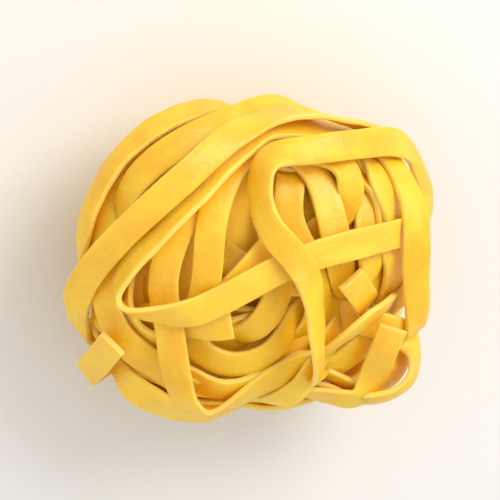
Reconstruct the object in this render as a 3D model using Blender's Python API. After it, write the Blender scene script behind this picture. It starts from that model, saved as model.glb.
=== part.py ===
"""Dry pasta nest: one nest of flat egg ribbons, wound loosely and dried, about 70 x 64 x 42 mm.

The nest is a ball of strands. Every strand is a flat ribbon that lies on a shell of one
rounded body, at its own depth below the body's skin, and tucks its ends into the core.
Units are metres with +Z up. The nest rests on z = 0 and its origin is under its middle.
"""
import math

import bmesh
import bpy
import numpy as np

MM = 0.001

# The rounded body that the strands wind round
HALF_LENGTH = 34.5 * MM
HALF_WIDTH = 31.0 * MM
WIDEST_LEVEL = 19.0 * MM
RISE = 21.5 * MM
DROP = 18.6 * MM
SQUARENESS = 2.3
CENTRE = np.array([0.0, 0.0, WIDEST_LEVEL])

# One dry ribbon
RIBBON_WIDTH = 5.5 * MM
RIBBON_THICKNESS = 1.1 * MM

# The solid middle, the flat spot that it rests on, and how far strand ends sink into it
CORE_INSET = np.array([5.5, 5.5, 9.0]) * MM
CORE_SEGMENTS = 28
CORE_RINGS = 16
FOOT_RADIUS = 13.0 * MM
FOOT_TOP_RADIUS = 16.0 * MM
FOOT_HEIGHT = 12.0 * MM
FOOT_SIDES = 24
BURIED = 10.6 * MM

# The strands that show in the opening are laid out on a drawing plane that faces a viewer
# above the nest, tipped back from straight down by this much, towards this bearing.
VIEW_TIP = math.radians(20.0)
VIEW_BEARING = math.radians(135.0)

# How a strand's route is worked out: how far along the sight line the body is looked for, the
# radius at which a turn round it is read as a length, and how much a route is evened out
NEAREST_SIGHT = -4.0 * MM
FARTHEST_SIGHT = 60.0 * MM
SIGHT_HALVINGS = 40
GIRTH_RADIUS = 27.5 * MM
RUN_ON_STEP = 2.0 * MM
WIND_SAMPLES = 300
PATH_PASSES = 4
ROLL_PASSES = 8

# The strands round the sides and under the nest
SIDE_BELTS = 11
UNDER_BELTS = 6
GOLDEN_ANGLE = 137.5

# How finely a strand is cut into flat lengths: the longest one, and the most that one may turn
LONGEST_FACET = 7.5 * MM
FACET_TURN = math.radians(28.0)
FINE_STEP = 1.0 * MM

# The fused nest is thinned to this many triangles, which takes out the slivers along its seams
TRIANGLE_BUDGET = 11500
FIN_PASSES = 3

PASTA_COLOUR = (0.86, 0.55, 0.10, 1.0)
PASTA_ROUGHNESS = 0.6


def unit(vectors):
    """Each row scaled to length one."""
    return vectors / np.linalg.norm(vectors, axis=-1, keepdims=True)


TOWARD = np.array([
    math.sin(VIEW_TIP) * math.cos(VIEW_BEARING),
    math.sin(VIEW_TIP) * math.sin(VIEW_BEARING),
    math.cos(VIEW_TIP),
])
UPWARD = unit(np.array([0.0, 1.0, 0.0]) - TOWARD[1] * TOWARD)
RIGHT = np.cross(UPWARD, TOWARD)


def half_axes(offsets, depth):
    """The body's half lengths along X, Y and Z at a depth; the top is taller than the underside."""
    height = np.where(offsets[..., 2] >= 0.0, RISE, DROP)
    full = np.stack([np.full(height.shape, HALF_LENGTH), np.full(height.shape, HALF_WIDTH), height], -1)
    return full - np.asarray(depth)[..., None]


def swell_of(offsets, depth):
    """The superellipsoid's own measure: 1 on the shell at this depth, less inside it."""
    return (np.abs(offsets / half_axes(offsets, depth)) ** SQUARENESS).sum(-1)


def on_shell(directions, depth):
    """The point of the shell at this depth along each direction from the centre."""
    reach = swell_of(directions, depth) ** (-1.0 / SQUARENESS)
    return CENTRE + reach[..., None] * directions


def outward(points):
    """The body's outward direction at each point, the slope of the superellipsoid's measure."""
    offsets = points - CENTRE
    axes = half_axes(offsets, np.zeros(len(offsets)))
    return unit(np.sign(offsets) * np.abs(offsets / axes) ** (SQUARENESS - 1.0) / axes)


def lift(right, up, depth):
    """Where the sight line through a place on the drawing plane meets the shell, by halving."""
    flat = right[:, None] * RIGHT + up[:, None] * UPWARD
    near = np.full(len(right), NEAREST_SIGHT)
    far = np.full(len(right), FARTHEST_SIGHT)
    for _ in range(SIGHT_HALVINGS):
        middle = (near + far) / 2.0
        inside = swell_of(flat + middle[:, None] * TOWARD, depth) < 1.0
        near = np.where(inside, middle, near)
        far = np.where(inside, far, middle)
    return CENTRE + flat + near[:, None] * TOWARD


def smooth_curve(stations, per_span=24):
    """A Catmull-Rom curve through the stations, which passes through each of them."""
    ends = np.vstack([2 * stations[0] - stations[1], stations, 2 * stations[-1] - stations[-2]])
    t = np.linspace(0.0, 1.0, per_span, endpoint=False)[:, None]
    spans = []
    for a, b, c, d in zip(ends[:-3], ends[1:-2], ends[2:-1], ends[3:]):
        spans.append(0.5 * (2 * b + (c - a) * t + (2 * a - 5 * b + 4 * c - d) * t**2
                            + (3 * b - a - 3 * c + d) * t**3))
    return np.vstack(spans + [stations[-1:]])


def softened(rows, passes):
    """The rows averaged with their neighbours, with the two ends held."""
    rows = rows.copy()
    for _ in range(passes):
        rows[1:-1] = 0.25 * rows[:-2] + 0.5 * rows[1:-1] + 0.25 * rows[2:]
    return rows


def evenly_spaced(points, step, *along):
    """The curve read again at even steps, with any values that run along it."""
    lengths = np.concatenate([[0.0], np.cumsum(np.linalg.norm(np.diff(points, axis=0), axis=1))])
    places = np.linspace(0.0, lengths[-1], max(4, int(round(lengths[-1] / step)) + 1))
    moved = np.stack([np.interp(places, lengths, points[:, k]) for k in range(3)], -1)
    return [moved] + [np.interp(places, lengths, values) for values in along]


def run_on(start, heading, length, depth):
    """The hidden rest of a strand: it runs on round the body and sinks from its depth to BURIED."""
    radial = unit(start - CENTRE)
    ahead = unit(heading - (heading @ radial) * radial)
    share = np.linspace(0.0, 1.0, max(3, int(length / RUN_ON_STEP)) + 1)[1:]
    angle = share * length / GIRTH_RADIUS
    directions = np.cos(angle)[:, None] * radial + np.sin(angle)[:, None] * ahead
    return on_shell(directions, depth + (BURIED - depth) * share)


def strand(points, roll):
    """A strand's points and width directions: flat on the body, rolled about its length."""
    tangents = unit(np.gradient(points, axis=0))
    facing = outward(points)
    facing = unit(facing - (facing * tangents).sum(-1, keepdims=True) * tangents)
    width = np.cross(facing, tangents)
    turn = np.broadcast_to(roll, len(points))[:, None]
    return points, width * np.cos(turn) + facing * np.sin(turn)


def route(stations, before=0.0, after=0.0):
    """A strand by a few stations (right, up, depth in mm, roll in degrees) on the drawing plane.

    before and after are the lengths in mm that run on, hidden, at its two ends and sink into the core.
    """
    stations = np.array(stations, float)
    placed = lift(stations[:, 0] * MM, stations[:, 1] * MM, stations[:, 2] * MM)
    curve = smooth_curve(placed)
    where = np.linspace(0, len(stations) - 1, len(curve))
    roll = np.interp(where, range(len(stations)), stations[:, 3])
    if before:
        lead = run_on(curve[0], curve[0] - curve[4], before * MM, stations[0, 2] * MM)
        curve = np.vstack([lead[::-1], curve])
        roll = np.concatenate([np.full(len(lead), roll[0]), roll])
    if after:
        rest = run_on(curve[-1], curve[-1] - curve[-5], after * MM, stations[-1, 2] * MM)
        curve = np.vstack([curve, rest])
        roll = np.concatenate([roll, np.full(len(rest), roll[-1])])
    points, roll = evenly_spaced(curve, FINE_STEP, roll)
    return strand(softened(points, PATH_PASSES), np.radians(softened(roll, ROLL_PASSES)))


def wind(lean, bearing, shift, start, sweep, depth, wave=(0.03, 2.0, 0.0), tuck=7.0, tuck_length=18.0):
    """A strand where a leaning plane cuts the body: lean 0 is along the drawing plane, 90 across it.

    bearing is the way the plane's normal leans, shift moves the plane off the centre, start and
    sweep are degrees round it, depth is in mm, and wave = (size, count, phase) lets it wander.
    """
    lean, bearing = math.radians(lean), math.radians(bearing)
    side = math.cos(bearing) * RIGHT + math.sin(bearing) * UPWARD
    normal = math.cos(lean) * TOWARD + math.sin(lean) * side
    level = math.cos(bearing) * UPWARD - math.sin(bearing) * RIGHT
    climb = np.cross(normal, level)
    share = np.linspace(0.0, 1.0, WIND_SAMPLES)
    angle = np.radians(start + sweep * share)[:, None]
    height = shift + wave[0] * np.sin(wave[1] * angle + wave[2])
    directions = unit(np.cos(angle) * level + np.sin(angle) * climb + height * normal)
    length = math.radians(sweep) * GIRTH_RADIUS / MM
    from_ends = np.minimum(share, 1.0 - share) * length
    sunk = depth + tuck * np.clip(1.0 - from_ends / tuck_length, 0.0, 1.0) ** 2
    points = evenly_spaced(on_shell(directions, sunk * MM), FINE_STEP)[0]
    return strand(points, 0.0)


def strands_in_the_opening():
    """The strands that the open top shows, by name, each laid out from its start to its end."""
    return {
        "curl": route([
            (33.4, 9.0, 1.2, -30), (32.4, 14.3, 1.0, -35), (30.0, 18.2, 0.8, -30),
            (26.0, 20.6, 0.6, -25), (20.0, 20.2, 0.5, -20), (14.0, 19.3, 0.4, -15),
            (8.4, 18.0, 0.5, 5), (4.2, 16.9, 0.8, 35), (2.3, 13.9, 1.3, 58), (2.0, 9.5, 1.8, 62),
            (3.0, 5.6, 1.6, 46), (5.4, 2.4, 1.0, 12), (8.6, -0.8, 0.5, -5), (10.9, -4.6, 0.2, -25),
            (11.8, -9.0, 0.2, -40), (12.2, -14.0, 0.4, -48), (12.4, -18.0, 1.0, -60),
            (12.0, -20.6, 2.6, -72), (11.4, -22.2, 5.0, -80), (10.8, -22.8, 8.0, -85),
        ], before=26),
        "hairpin": route([
            (21.0, 23.9, 2.4, -10), (12.0, 24.3, 2.2, -10), (4.0, 23.8, 2.0, 5),
            (-1.0, 21.0, 1.8, 35), (-4.8, 16.0, 1.6, 52), (-9.2, 10.6, 1.4, 62),
            (-13.8, 6.0, 1.4, 58), (-18.8, 1.0, 1.4, 50), (-22.4, -3.2, 1.5, 44),
            (-24.0, -6.6, 1.6, 46), (-23.2, -9.2, 1.8, 60), (-20.5, -10.2, 1.8, 66),
            (-16.0, -10.5, 1.7, 45), (-11.0, -10.4, 1.6, 15), (-6.0, -8.6, 1.6, 0),
            (0.0, -5.4, 1.6, 0), (7.0, -1.8, 1.8, 0), (15.0, 0.9, 1.8, 0), (22.0, 2.7, 1.8, 0),
            (29.0, 4.4, 2.2, 10),
        ], before=16, after=30),
        "u_turn": route([
            (-6.0, 17.0, 4.2, 10), (-10.5, 10.0, 3.6, 0), (-13.6, 4.0, 3.0, 0),
            (-15.6, -2.0, 2.6, 0), (-15.9, -7.5, 2.8, 0), (-14.8, -13.0, 2.0, 0),
            (-14.1, -18.5, 1.2, 0), (-13.2, -23.5, 0.6, 5), (-11.8, -27.6, 0.4, 15),
            (-8.8, -29.6, 0.6, 20), (-4.2, -29.2, 1.0, 12), (0.5, -27.4, 1.8, -5),
            (6.0, -24.6, 2.6, -25), (11.0, -22.4, 3.0, -5), (14.8, -20.6, 2.4, 25),
            (18.0, -17.0, 1.6, 35), (21.4, -13.6, 1.2, 38), (24.8, -11.6, 1.4, 35),
            (28.2, -12.0, 2.4, 30), (30.6, -15.0, 3.4, 20),
        ], before=14, after=14),
        "middle_upright": route([
            (13.0, 22.3, 3.4, 10), (7.0, 22.6, 3.0, 20), (1.0, 21.0, 2.8, 20),
            (-3.3, 17.0, 2.6, 10), (-5.8, 11.5, 2.6, 0), (-7.2, 6.0, 2.8, 0), (-7.6, 0.0, 3.0, 0),
            (-8.0, -5.5, 3.4, 0), (-9.2, -11.0, 4.0, 0), (-10.0, -16.0, 4.2, -5),
            (-7.8, -19.8, 4.2, -15), (-3.5, -21.2, 4.2, -20), (1.5, -20.8, 4.2, -20),
            (6.5, -18.8, 4.6, -10),
        ], before=14, after=18),
        "right_upright": route([
            (8.0, 19.5, 4.0, 0), (10.6, 15.3, 3.6, 5), (13.0, 10.0, 3.2, 10), (15.8, 4.6, 3.0, 10),
            (18.2, -1.0, 3.2, 10), (21.0, -6.0, 4.6, 10), (23.5, -10.0, 6.6, 10),
        ], before=18, after=16),
        "cut_end": route([
            (19.0, -4.4, 2.0, 5), (22.0, -8.4, 2.6, 5), (24.4, -11.6, 4.6, 5),
            (26.2, -14.5, 7.0, 5),
        ], after=20),
        "end_by_the_rim": route([
            (26.5, -13.2, 0.4, 40), (24.6, -18.0, 0.6, 45), (22.8, -22.6, 1.0, 42),
            (21.0, -26.5, 1.6, 35),
        ], after=26),
        "rim_loop": route([
            (27.6, -15.2, 1.0, 14), (30.2, -16.4, 0.8, 12), (31.9, -19.4, 0.8, 10),
            (31.3, -23.2, 0.8, 10), (28.4, -26.5, 0.8, 10), (23.6, -28.6, 1.0, 8),
            (17.5, -29.4, 1.4, 5),
        ], before=9, after=30),
        "loop_inside": route([
            (27.0, -15.0, 2.2, 20), (29.6, -18.8, 1.8, 26), (29.0, -22.8, 1.8, 28),
            (25.8, -26.2, 1.8, 26), (20.5, -27.8, 2.2, 15),
        ], before=9, after=20),
        "right_fall": route([
            (27.6, 17.4, 1.6, 30), (29.8, 11.0, 1.0, 32), (30.7, 4.5, 0.8, 34),
            (30.5, -2.5, 0.8, 34), (31.1, -9.0, 0.9, 30), (31.4, -14.5, 1.4, 25),
        ], before=30, after=30),
        "right_edge": route([
            (23.4, 18.5, 3.0, 5), (24.6, 13.5, 2.6, 0), (26.3, 9.5, 2.8, -5), (27.2, 5.5, 3.2, -10),
            (27.6, 0.0, 3.4, -10), (27.2, -5.5, 3.8, -10), (26.2, -10.5, 5.0, -5),
        ], before=20, after=20),
        "eye": route([
            (12.0, 20.0, 3.6, 10), (17.0, 17.2, 2.6, 5), (18.8, 13.5, 2.6, 0), (17.6, 9.5, 3.4, 0),
            (15.0, 6.0, 4.6, 0),
        ], before=16, after=20),
        "right_inner": route([
            (20.0, 17.0, 5.2, 20), (22.0, 11.5, 4.4, 30), (23.0, 6.0, 3.8, 20), (24.0, 0.0, 3.2, 5),
            (25.2, -5.5, 3.6, 5), (26.0, -9.5, 5.0, 5),
        ], before=18, after=20),
        "deep_fall": route([
            (7.4, 17.0, 5.6, 0), (7.8, 12.5, 5.4, 10), (8.6, 7.5, 5.2, 20), (10.6, 1.5, 4.8, 10),
            (13.2, -3.8, 4.2, 0), (15.2, -8.0, 4.2, 0), (16.5, -12.5, 4.6, 0),
            (16.0, -17.0, 5.5, 0),
        ], before=14, after=16),
        "deep_middle": route([
            (6.5, 17.0, 6.0, 0), (5.6, 12.0, 5.4, 0), (5.6, 8.0, 5.4, 0), (6.4, 2.0, 5.6, 0),
            (6.6, -4.0, 4.8, 0), (5.0, -9.5, 4.8, 0), (2.0, -14.0, 5.0, 0), (-1.5, -18.5, 5.6, 0),
        ], before=14, after=16),
        "deep_slant": route([
            (10.5, 6.5, 5.6, 0), (4.6, 1.2, 4.4, 0), (0.4, -2.6, 4.0, 0), (-4.2, -7.2, 4.2, 0),
            (-9.0, -12.0, 5.0, 0),
        ], before=16, after=16),
        "inner_end": route([
            (-3.4, -12.6, 3.0, 0), (-8.0, -13.4, 3.0, 0), (-13.0, -12.4, 3.4, 0),
            (-18.0, -12.8, 4.0, 0), (-23.0, -13.0, 4.4, 10),
        ], after=24),
        "left_rim": route([
            (-20.0, 4.0, 3.0, -15), (-24.6, -2.5, 2.4, -15), (-27.0, -8.0, 2.0, -15),
            (-25.6, -13.0, 1.8, -25), (-22.0, -18.3, 1.6, -35), (-18.0, -22.4, 1.8, -35),
            (-13.5, -25.4, 2.6, -20), (-7.0, -26.0, 4.0, -10),
        ], before=20, after=16),
        "thin_ring": route([
            (-24.2, -8.0, 3.0, 40), (-22.8, -12.3, 3.0, 40), (-19.6, -15.6, 3.0, 45),
            (-15.0, -17.2, 3.4, 50), (-9.0, -17.0, 4.6, 50),
        ], before=18, after=18),
        "low_ring": route([
            (-31.0, -13.6, 1.8, -20), (-27.4, -18.8, 1.6, -35), (-22.8, -22.6, 1.4, -45),
            (-18.3, -25.9, 1.3, -50), (-13.2, -28.6, 1.5, -50), (-7.0, -29.6, 2.0, -40),
            (0.0, -28.5, 2.4, -35), (6.0, -26.0, 3.0, -30), (13.0, -23.0, 3.4, -30),
        ], before=26, after=20),
        "flap": route([
            (-24.9, -15.9, -0.4, 0), (-28.4, -19.9, -0.4, 0), (-31.6, -23.0, 0.0, 0),
        ], after=26),
    }


def belts_over_the_shoulder():
    """The broad strands that fan out over the left shoulder, the uppermost first."""
    return {
        "broad_belt": route([
            (28.0, 23.8, 0.8, 35), (18.0, 24.9, 0.6, 38), (9.0, 25.4, 0.8, 34),
            (2.5, 24.4, 1.0, 15), (-4.0, 20.8, 0.8, -15), (-10.0, 15.2, 0.5, -25),
            (-15.0, 11.0, 0.4, -25), (-20.0, 6.5, 0.4, -25), (-25.0, 1.6, 0.4, -30),
            (-29.0, -3.5, 0.5, -35), (-31.4, -9.5, 1.0, -32), (-31.8, -15.0, 1.4, -28),
        ], before=24, after=26),
        "second_belt": route([
            (12.0, 28.3, 1.8, -20), (3.0, 28.0, 1.2, -30), (-4.0, 25.6, 1.0, -25),
            (-10.0, 22.4, 1.0, -25), (-15.0, 19.3, 1.0, -25), (-20.0, 16.0, 1.2, -15),
            (-24.5, 11.5, 1.6, 0), (-27.8, 6.0, 2.0, 8), (-29.8, 0.0, 2.4, 8),
        ], before=20, after=24),
        "third_belt": route([
            (-9.0, 19.5, 2.2, -20), (-16.0, 15.8, 2.0, -20), (-21.0, 12.0, 1.8, -15),
            (-25.0, 7.5, 1.8, 0), (-28.0, 1.5, 2.0, 5), (-30.5, -5.0, 2.4, 5),
        ], before=20, after=20),
        "outer_belt": route([
            (-6.0, 28.4, 1.6, -20), (-13.0, 25.8, 1.0, -20), (-19.0, 22.2, 0.6, -10),
            (-24.5, 17.0, 0.6, 0), (-28.5, 10.5, 0.8, 0), (-31.0, 3.0, 1.0, 0),
            (-32.5, -4.0, 1.4, 0),
        ], before=26, after=26),
    }


def belts_round_the_sides():
    """The strands round the sides, lower and lower, and those that pass under the nest."""
    belts = []
    for k in range(SIDE_BELTS):
        bearing = GOLDEN_ANGLE * k
        belts.append(wind(5 + 5 * (k % 4), bearing, -0.34 - 0.07 * k, bearing + 90 * (k % 3),
                          220 + 12 * (k % 5), 0.8 + 0.8 * (k % 3), wave=(0.06, 2 + k % 2, bearing)))
    for k in range(UNDER_BELTS):
        bearing = 180.0 / UNDER_BELTS * k
        belts.append(wind(80 + 5 * (k % 3), bearing, 0.24 * (k % 4 - 1.5), 190 - 5 * (k % 2), 160,
                          1.0 + 0.8 * (k % 3), wave=(0.05, 3, bearing)))
    return belts


def facet_places(points, width):
    """Where a strand is cut across: closer together where it bends or twists."""
    tangents = unit(np.gradient(points, axis=0))
    bend = np.arccos(np.clip((tangents[1:] * tangents[:-1]).sum(1), -1.0, 1.0))
    twist = np.arccos(np.clip((width[1:] * width[:-1]).sum(1), -1.0, 1.0))
    run = np.linalg.norm(np.diff(points, axis=0), axis=1)
    cost = np.concatenate([[0.0], np.cumsum(run / LONGEST_FACET + (bend + twist) / FACET_TURN)])
    count = max(3, int(math.ceil(cost[-1])) + 1)
    return np.interp(np.linspace(0.0, cost[-1], count), cost, np.arange(len(points)))


def ribbon(name, points, width, collection):
    """A closed strip: a rectangle carried along the strand, with its two cut ends capped."""
    places = facet_places(points, width)
    index = np.arange(len(points))
    points = np.stack([np.interp(places, index, points[:, k]) for k in range(3)], -1)
    width = unit(np.stack([np.interp(places, index, width[:, k]) for k in range(3)], -1))
    tangents = unit(np.gradient(points, axis=0))
    width = unit(width - (width * tangents).sum(-1, keepdims=True) * tangents)
    facing = np.cross(tangents, width)
    shape = bmesh.new()
    sections = []
    for point, across, out in zip(points, width * RIBBON_WIDTH / 2, facing * RIBBON_THICKNESS / 2):
        corners = [point - across - out, point + across - out, point + across + out, point - across + out]
        sections.append([shape.verts.new((x, y, max(z, 0.0))) for x, y, z in corners])
    for near, far in zip(sections[:-1], sections[1:]):
        for k in range(4):
            shape.faces.new((near[k], near[(k + 1) % 4], far[(k + 1) % 4], far[k]))
    shape.faces.new(sections[0][::-1])
    shape.faces.new(sections[-1])
    bmesh.ops.triangulate(shape, faces=shape.faces)
    bmesh.ops.recalc_face_normals(shape, faces=shape.faces)
    return add_object(name, shape, collection)


def add_object(name, shape, collection):
    """Puts a finished bmesh in the scene as an object of that name."""
    mesh = bpy.data.meshes.new(name)
    shape.to_mesh(mesh)
    shape.free()
    made = bpy.data.objects.new(name, mesh)
    collection.objects.link(made)
    return made


def on_core(directions):
    """The point of the core's skin along each direction: the body drawn in by CORE_INSET."""
    axes = half_axes(directions, 0.0) - CORE_INSET
    reach = (np.abs(directions / axes) ** SQUARENESS).sum(-1) ** (-1.0 / SQUARENESS)
    return CENTRE + reach[..., None] * directions


def core(name, collection):
    """The packed middle: a sphere drawn out to the core's skin."""
    shape = bmesh.new()
    bmesh.ops.create_uvsphere(shape, u_segments=CORE_SEGMENTS, v_segments=CORE_RINGS, radius=1.0)
    for vertex in shape.verts:
        vertex.co = on_core(np.array(vertex.co.normalized()))
    bmesh.ops.triangulate(shape, faces=shape.faces)
    return add_object(name, shape, collection)


def foot(name, collection):
    """The flattened underside where the nest rests: a disc from the table up into the core."""
    shape = bmesh.new()
    bmesh.ops.create_cone(shape, cap_ends=True, segments=FOOT_SIDES, radius1=FOOT_RADIUS,
                          radius2=FOOT_TOP_RADIUS, depth=FOOT_HEIGHT)
    bmesh.ops.translate(shape, verts=shape.verts, vec=(0.0, 0.0, FOOT_HEIGHT / 2))
    bmesh.ops.triangulate(shape, faces=shape.faces)
    return add_object(name, shape, collection)


def fuse(body, pieces):
    """One Boolean union of the body with every piece, applied, and the pieces then removed."""
    union = body.modifiers.new("fuse", "BOOLEAN")
    union.operation = "UNION"
    union.operand_type = "COLLECTION"
    union.collection = pieces
    union.solver = "MANIFOLD"
    fused = bpy.data.meshes.new_from_object(body.evaluated_get(bpy.context.evaluated_depsgraph_get()))
    body.modifiers.clear()
    body.data = fused
    for piece in list(pieces.objects):
        bpy.data.objects.remove(piece)
    bpy.data.collections.remove(pieces)


def shells_of(shape):
    """The connected groups of faces of a bmesh."""
    unseen = set(shape.faces)
    groups = []
    while unseen:
        group = {unseen.pop()}
        front = list(group)
        while front:
            beside = {other for edge in front.pop().edges for other in edge.link_faces}
            fresh = beside & unseen
            unseen -= fresh
            group |= fresh
            front.extend(fresh)
        groups.append(group)
    return groups


def keep_outer_skin(body):
    """Fills sealed hollows and drops loose scraps: only the largest shell of faces stays."""
    shape = bmesh.new()
    shape.from_mesh(body.data)
    groups = sorted(shells_of(shape), key=len)
    for group in groups[:-1]:
        bmesh.ops.delete(shape, geom=list(group), context="FACES")
    bmesh.ops.triangulate(shape, faces=shape.faces)
    drop_fins(shape)
    shape.to_mesh(body.data)
    shape.free()


def drop_fins(shape):
    """Deletes the faces that hang on by one side, which cutting a long face into triangles can leave."""
    for _ in range(FIN_PASSES):
        fins = {face for edge in shape.edges if len(edge.link_faces) == 1 for face in edge.link_faces}
        bmesh.ops.delete(shape, geom=list(fins), context="FACES")


def thin_out(body, budget):
    """Collapses the shortest, flattest edges until the body has no more triangles than its budget."""
    thinner = body.modifiers.new("thinner", "DECIMATE")
    thinner.ratio = min(1.0, budget / len(body.data.polygons))
    thinned = bpy.data.meshes.new_from_object(body.evaluated_get(bpy.context.evaluated_depsgraph_get()))
    body.modifiers.clear()
    body.data = thinned


def pasta_material():
    """Dry egg pasta: warm yellow and matt."""
    material = bpy.data.materials.new("dry_egg_pasta")
    material.use_nodes = True
    shader = material.node_tree.nodes["Principled BSDF"]
    shader.inputs["Base Color"].default_value = PASTA_COLOUR
    shader.inputs["Roughness"].default_value = PASTA_ROUGHNESS
    shader.inputs["Metallic"].default_value = 0.0
    return material


def build():
    """Clears the scene and makes the nest: the core, its foot and every strand, fused into one solid."""
    for old in list(bpy.data.objects):
        bpy.data.objects.remove(old)
    nest_collection = bpy.data.collections.new("pasta_nest")
    strand_collection = bpy.data.collections.new("strands")
    bpy.context.scene.collection.children.link(nest_collection)
    bpy.context.scene.collection.children.link(strand_collection)

    nest = core("pasta_nest", nest_collection)
    foot("foot", strand_collection)
    strands = [
        *strands_in_the_opening().values(),
        *belts_over_the_shoulder().values(),
        *belts_round_the_sides(),
    ]
    for number, (points, width) in enumerate(strands):
        ribbon(f"strand_{number:02d}", points, width, strand_collection)
    fuse(nest, strand_collection)
    keep_outer_skin(nest)
    thin_out(nest, TRIANGLE_BUDGET)
    nest.data.materials.clear()
    nest.data.materials.append(pasta_material())


build()
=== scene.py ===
"""Looks of a dry pasta nest: separate flat egg ribbons, wound loosely and dried hard.

Every ribbon follows a strand, a line with a width direction, that lies on a shell of one rounded
body. The strands are then pressed apart until they rest on each other, and each one becomes a
closed ribbon with rounded edges and square cut ends. Lengths in the tables are millimetres.
"""
import math

import bpy
import numpy as np
from mathutils import Matrix


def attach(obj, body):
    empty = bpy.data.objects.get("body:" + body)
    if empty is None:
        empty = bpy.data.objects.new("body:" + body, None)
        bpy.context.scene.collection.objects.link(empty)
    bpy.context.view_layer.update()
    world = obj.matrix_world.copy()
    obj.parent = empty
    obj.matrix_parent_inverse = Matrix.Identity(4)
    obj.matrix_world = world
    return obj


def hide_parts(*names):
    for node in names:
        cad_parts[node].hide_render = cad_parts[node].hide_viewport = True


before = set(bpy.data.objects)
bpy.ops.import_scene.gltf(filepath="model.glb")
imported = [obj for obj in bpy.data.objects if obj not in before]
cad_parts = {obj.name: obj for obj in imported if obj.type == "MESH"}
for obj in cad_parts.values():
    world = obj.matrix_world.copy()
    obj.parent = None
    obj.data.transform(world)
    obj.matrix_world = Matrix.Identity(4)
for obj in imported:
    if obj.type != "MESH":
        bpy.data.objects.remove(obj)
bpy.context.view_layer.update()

MM = 0.001

# The rounded body that the strands wind round
HALF_LENGTH = 34.5 * MM
HALF_WIDTH = 31.0 * MM
WIDEST_LEVEL = 19.0 * MM
RISE = 21.5 * MM
DROP = 18.6 * MM
SQUARENESS = 2.3
CENTRE = np.array([0.0, 0.0, WIDEST_LEVEL])

# One dry ribbon, and how far its hidden ends sink
RIBBON_WIDTH = 5.5 * MM
RIBBON_THICKNESS = 1.1 * MM
BURIED = 8.5 * MM

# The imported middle: how deep its skin lies along X, Y and Z, how much less deep it lies on the
# underside, and its grid
CORE_INSET = np.array([3.3, 3.3, 10.5]) * MM
CORE_LOWERED = 7.0 * MM
CORE_AROUND = 64
CORE_ROWS = 32

# The drawing plane that the strands in the opening are laid out on faces the camera
VIEW_TIP = math.radians(20.0)
VIEW_BEARING = math.radians(135.0)

# How a strand's route is worked out: how far along the sight line the body is looked for, the
# radius at which a turn round it is read as a length, and how much a route is evened out
NEAREST_SIGHT = -4.0 * MM
FARTHEST_SIGHT = 60.0 * MM
SIGHT_HALVINGS = 40
GIRTH_RADIUS = 27.5 * MM
RUN_ON_STEP = 2.0 * MM
WIND_SAMPLES = 300
PATH_PASSES = 3
ROLL_PASSES = 6

# The strands round the sides and under the nest
SIDE_BELTS = 11
UNDER_BELTS = 6
GOLDEN_ANGLE = 137.5

# The inner turns: how many, the ranges that their planes and lengths are drawn from, and how deep
# in mm the first one lies and how much deeper the last
FILLER_SEED = 11
FILLER_COUNT = 28
FILLER_LEANS = (15.0, 75.0)
FILLER_BEARINGS = (-20.0, 20.0)
FILLER_SHIFTS = (-0.45, 0.35)
FILLER_SWEEPS = (170.0, 280.0)
FILLER_DEPTH = 4.8
FILLER_DEEPENS = 5.6

# The turns that line the nest below its rim, in mm and degrees on the drawing plane
LINING_STARTS = (20.0, 200.0)
LINING_SWEEP = 190.0
LINING_STATIONS = 12
LINING_RIGHT = 29.3
LINING_UP = 25.6
LINING_DEPTH = 3.3
LINING_ROLL = -32.0

# The strand coiled flat under the nest
COIL_TURNS = 2.6
COIL_START = 3.2 * MM
COIL_PITCH = 5.6 * MM
COIL_WAVE = 0.04
COIL_DROP = 0.3 * MM
COIL_LIFT = 0.6 * MM

# Pressing the strands apart: the length of a step along a strand, the number of rounds, the spots
# across a ribbon, the outer strand's share of a move, how far spots are looked for and how often,
# when two of them touch, and how far along its own strand a spot meets it as another
SETTLE_STEP = 1.3 * MM
SETTLE_ROUNDS = 90
LANES = 5
OUTER_SHARE = 0.3
SEARCH_RADIUS = 2.4 * MM
SEARCH_EVERY = 4
SPOT_RADIUS = 1.0 * MM
OWN_TURN = 12.0 * MM
CLEARANCE = 1.02

# How strong a round's moves and twists are, how far they spread along a strand, and how much of
# them is held; then the sine of the angle under which strands run side by side, and the least lift
# that tells which way is out
SHOVE_GAIN = 1.3
TWIST_GAIN = 0.4
SPREAD_PASSES = 4
LEAST_SPREAD = 0.3
HOLD = 0.985
HOLD_PASSES = 2
SIDE_BY_SIDE = 0.3
CLEAR_LIFT = 0.35

# The finished ribbons, and the lengths over which their width, thickness, cup and edges vary; then
# the way round a ribbon's outline, the bend that stays a sharp edge, and what the variation starts from
ROW_STEP = 0.9 * MM
BEND_PASSES = 6
EDGE_RADIUS = 0.28 * MM
CUP_DEPTH = 0.16 * MM
RIPPLE = 0.12 * MM
WIDTH_VARIES = 0.035
THICKNESS_VARIES = 0.07
WIDTH_WAVE = 30 * MM
THICKNESS_WAVE = 18 * MM
CUP_WAVE = 45 * MM
RIPPLE_WAVE = 11 * MM
OUTLINE_LENGTH = 13.0 * MM
SHARP_ANGLE = math.radians(50.0)
SEEN_SEED = 3
INNER_SEED = 4

# The colours as they look on screen: the dough from its darker to its lighter clouds, the paler
# ribbons, the painted shade of the dough deep in the nest, streaks, flour, cut edges that are partly
# a painted highlight, the painted shade of the imported middle, and the floor
DOUGH_DARKER = (242, 182, 10)
DOUGH_LIGHTER = (252, 202, 30)
DOUGH_PALER = (254, 219, 78)
# painted shade: the saturated amber that stands in for shade and light bouncing between ribbons deep in
# the nest
DOUGH_PAINTED_SHADE = (250, 198, 18)
STREAK = (224, 158, 34)
FLOUR = (255, 230, 140)
# paler cut edges: partly floury cut dough, partly a painted highlight where thin edges catch the light
CUT_EDGE_AND_HIGHLIGHT = (254, 226, 132)
# painted shade: the middle's amber stands in for the shaded ribbons deep in the nest
MIDDLE_SHADE_DARKER = (250, 196, 40)
MIDDLE_SHADE_LIGHTER = (254, 212, 62)
FLOOR = (232, 230, 226)
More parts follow.
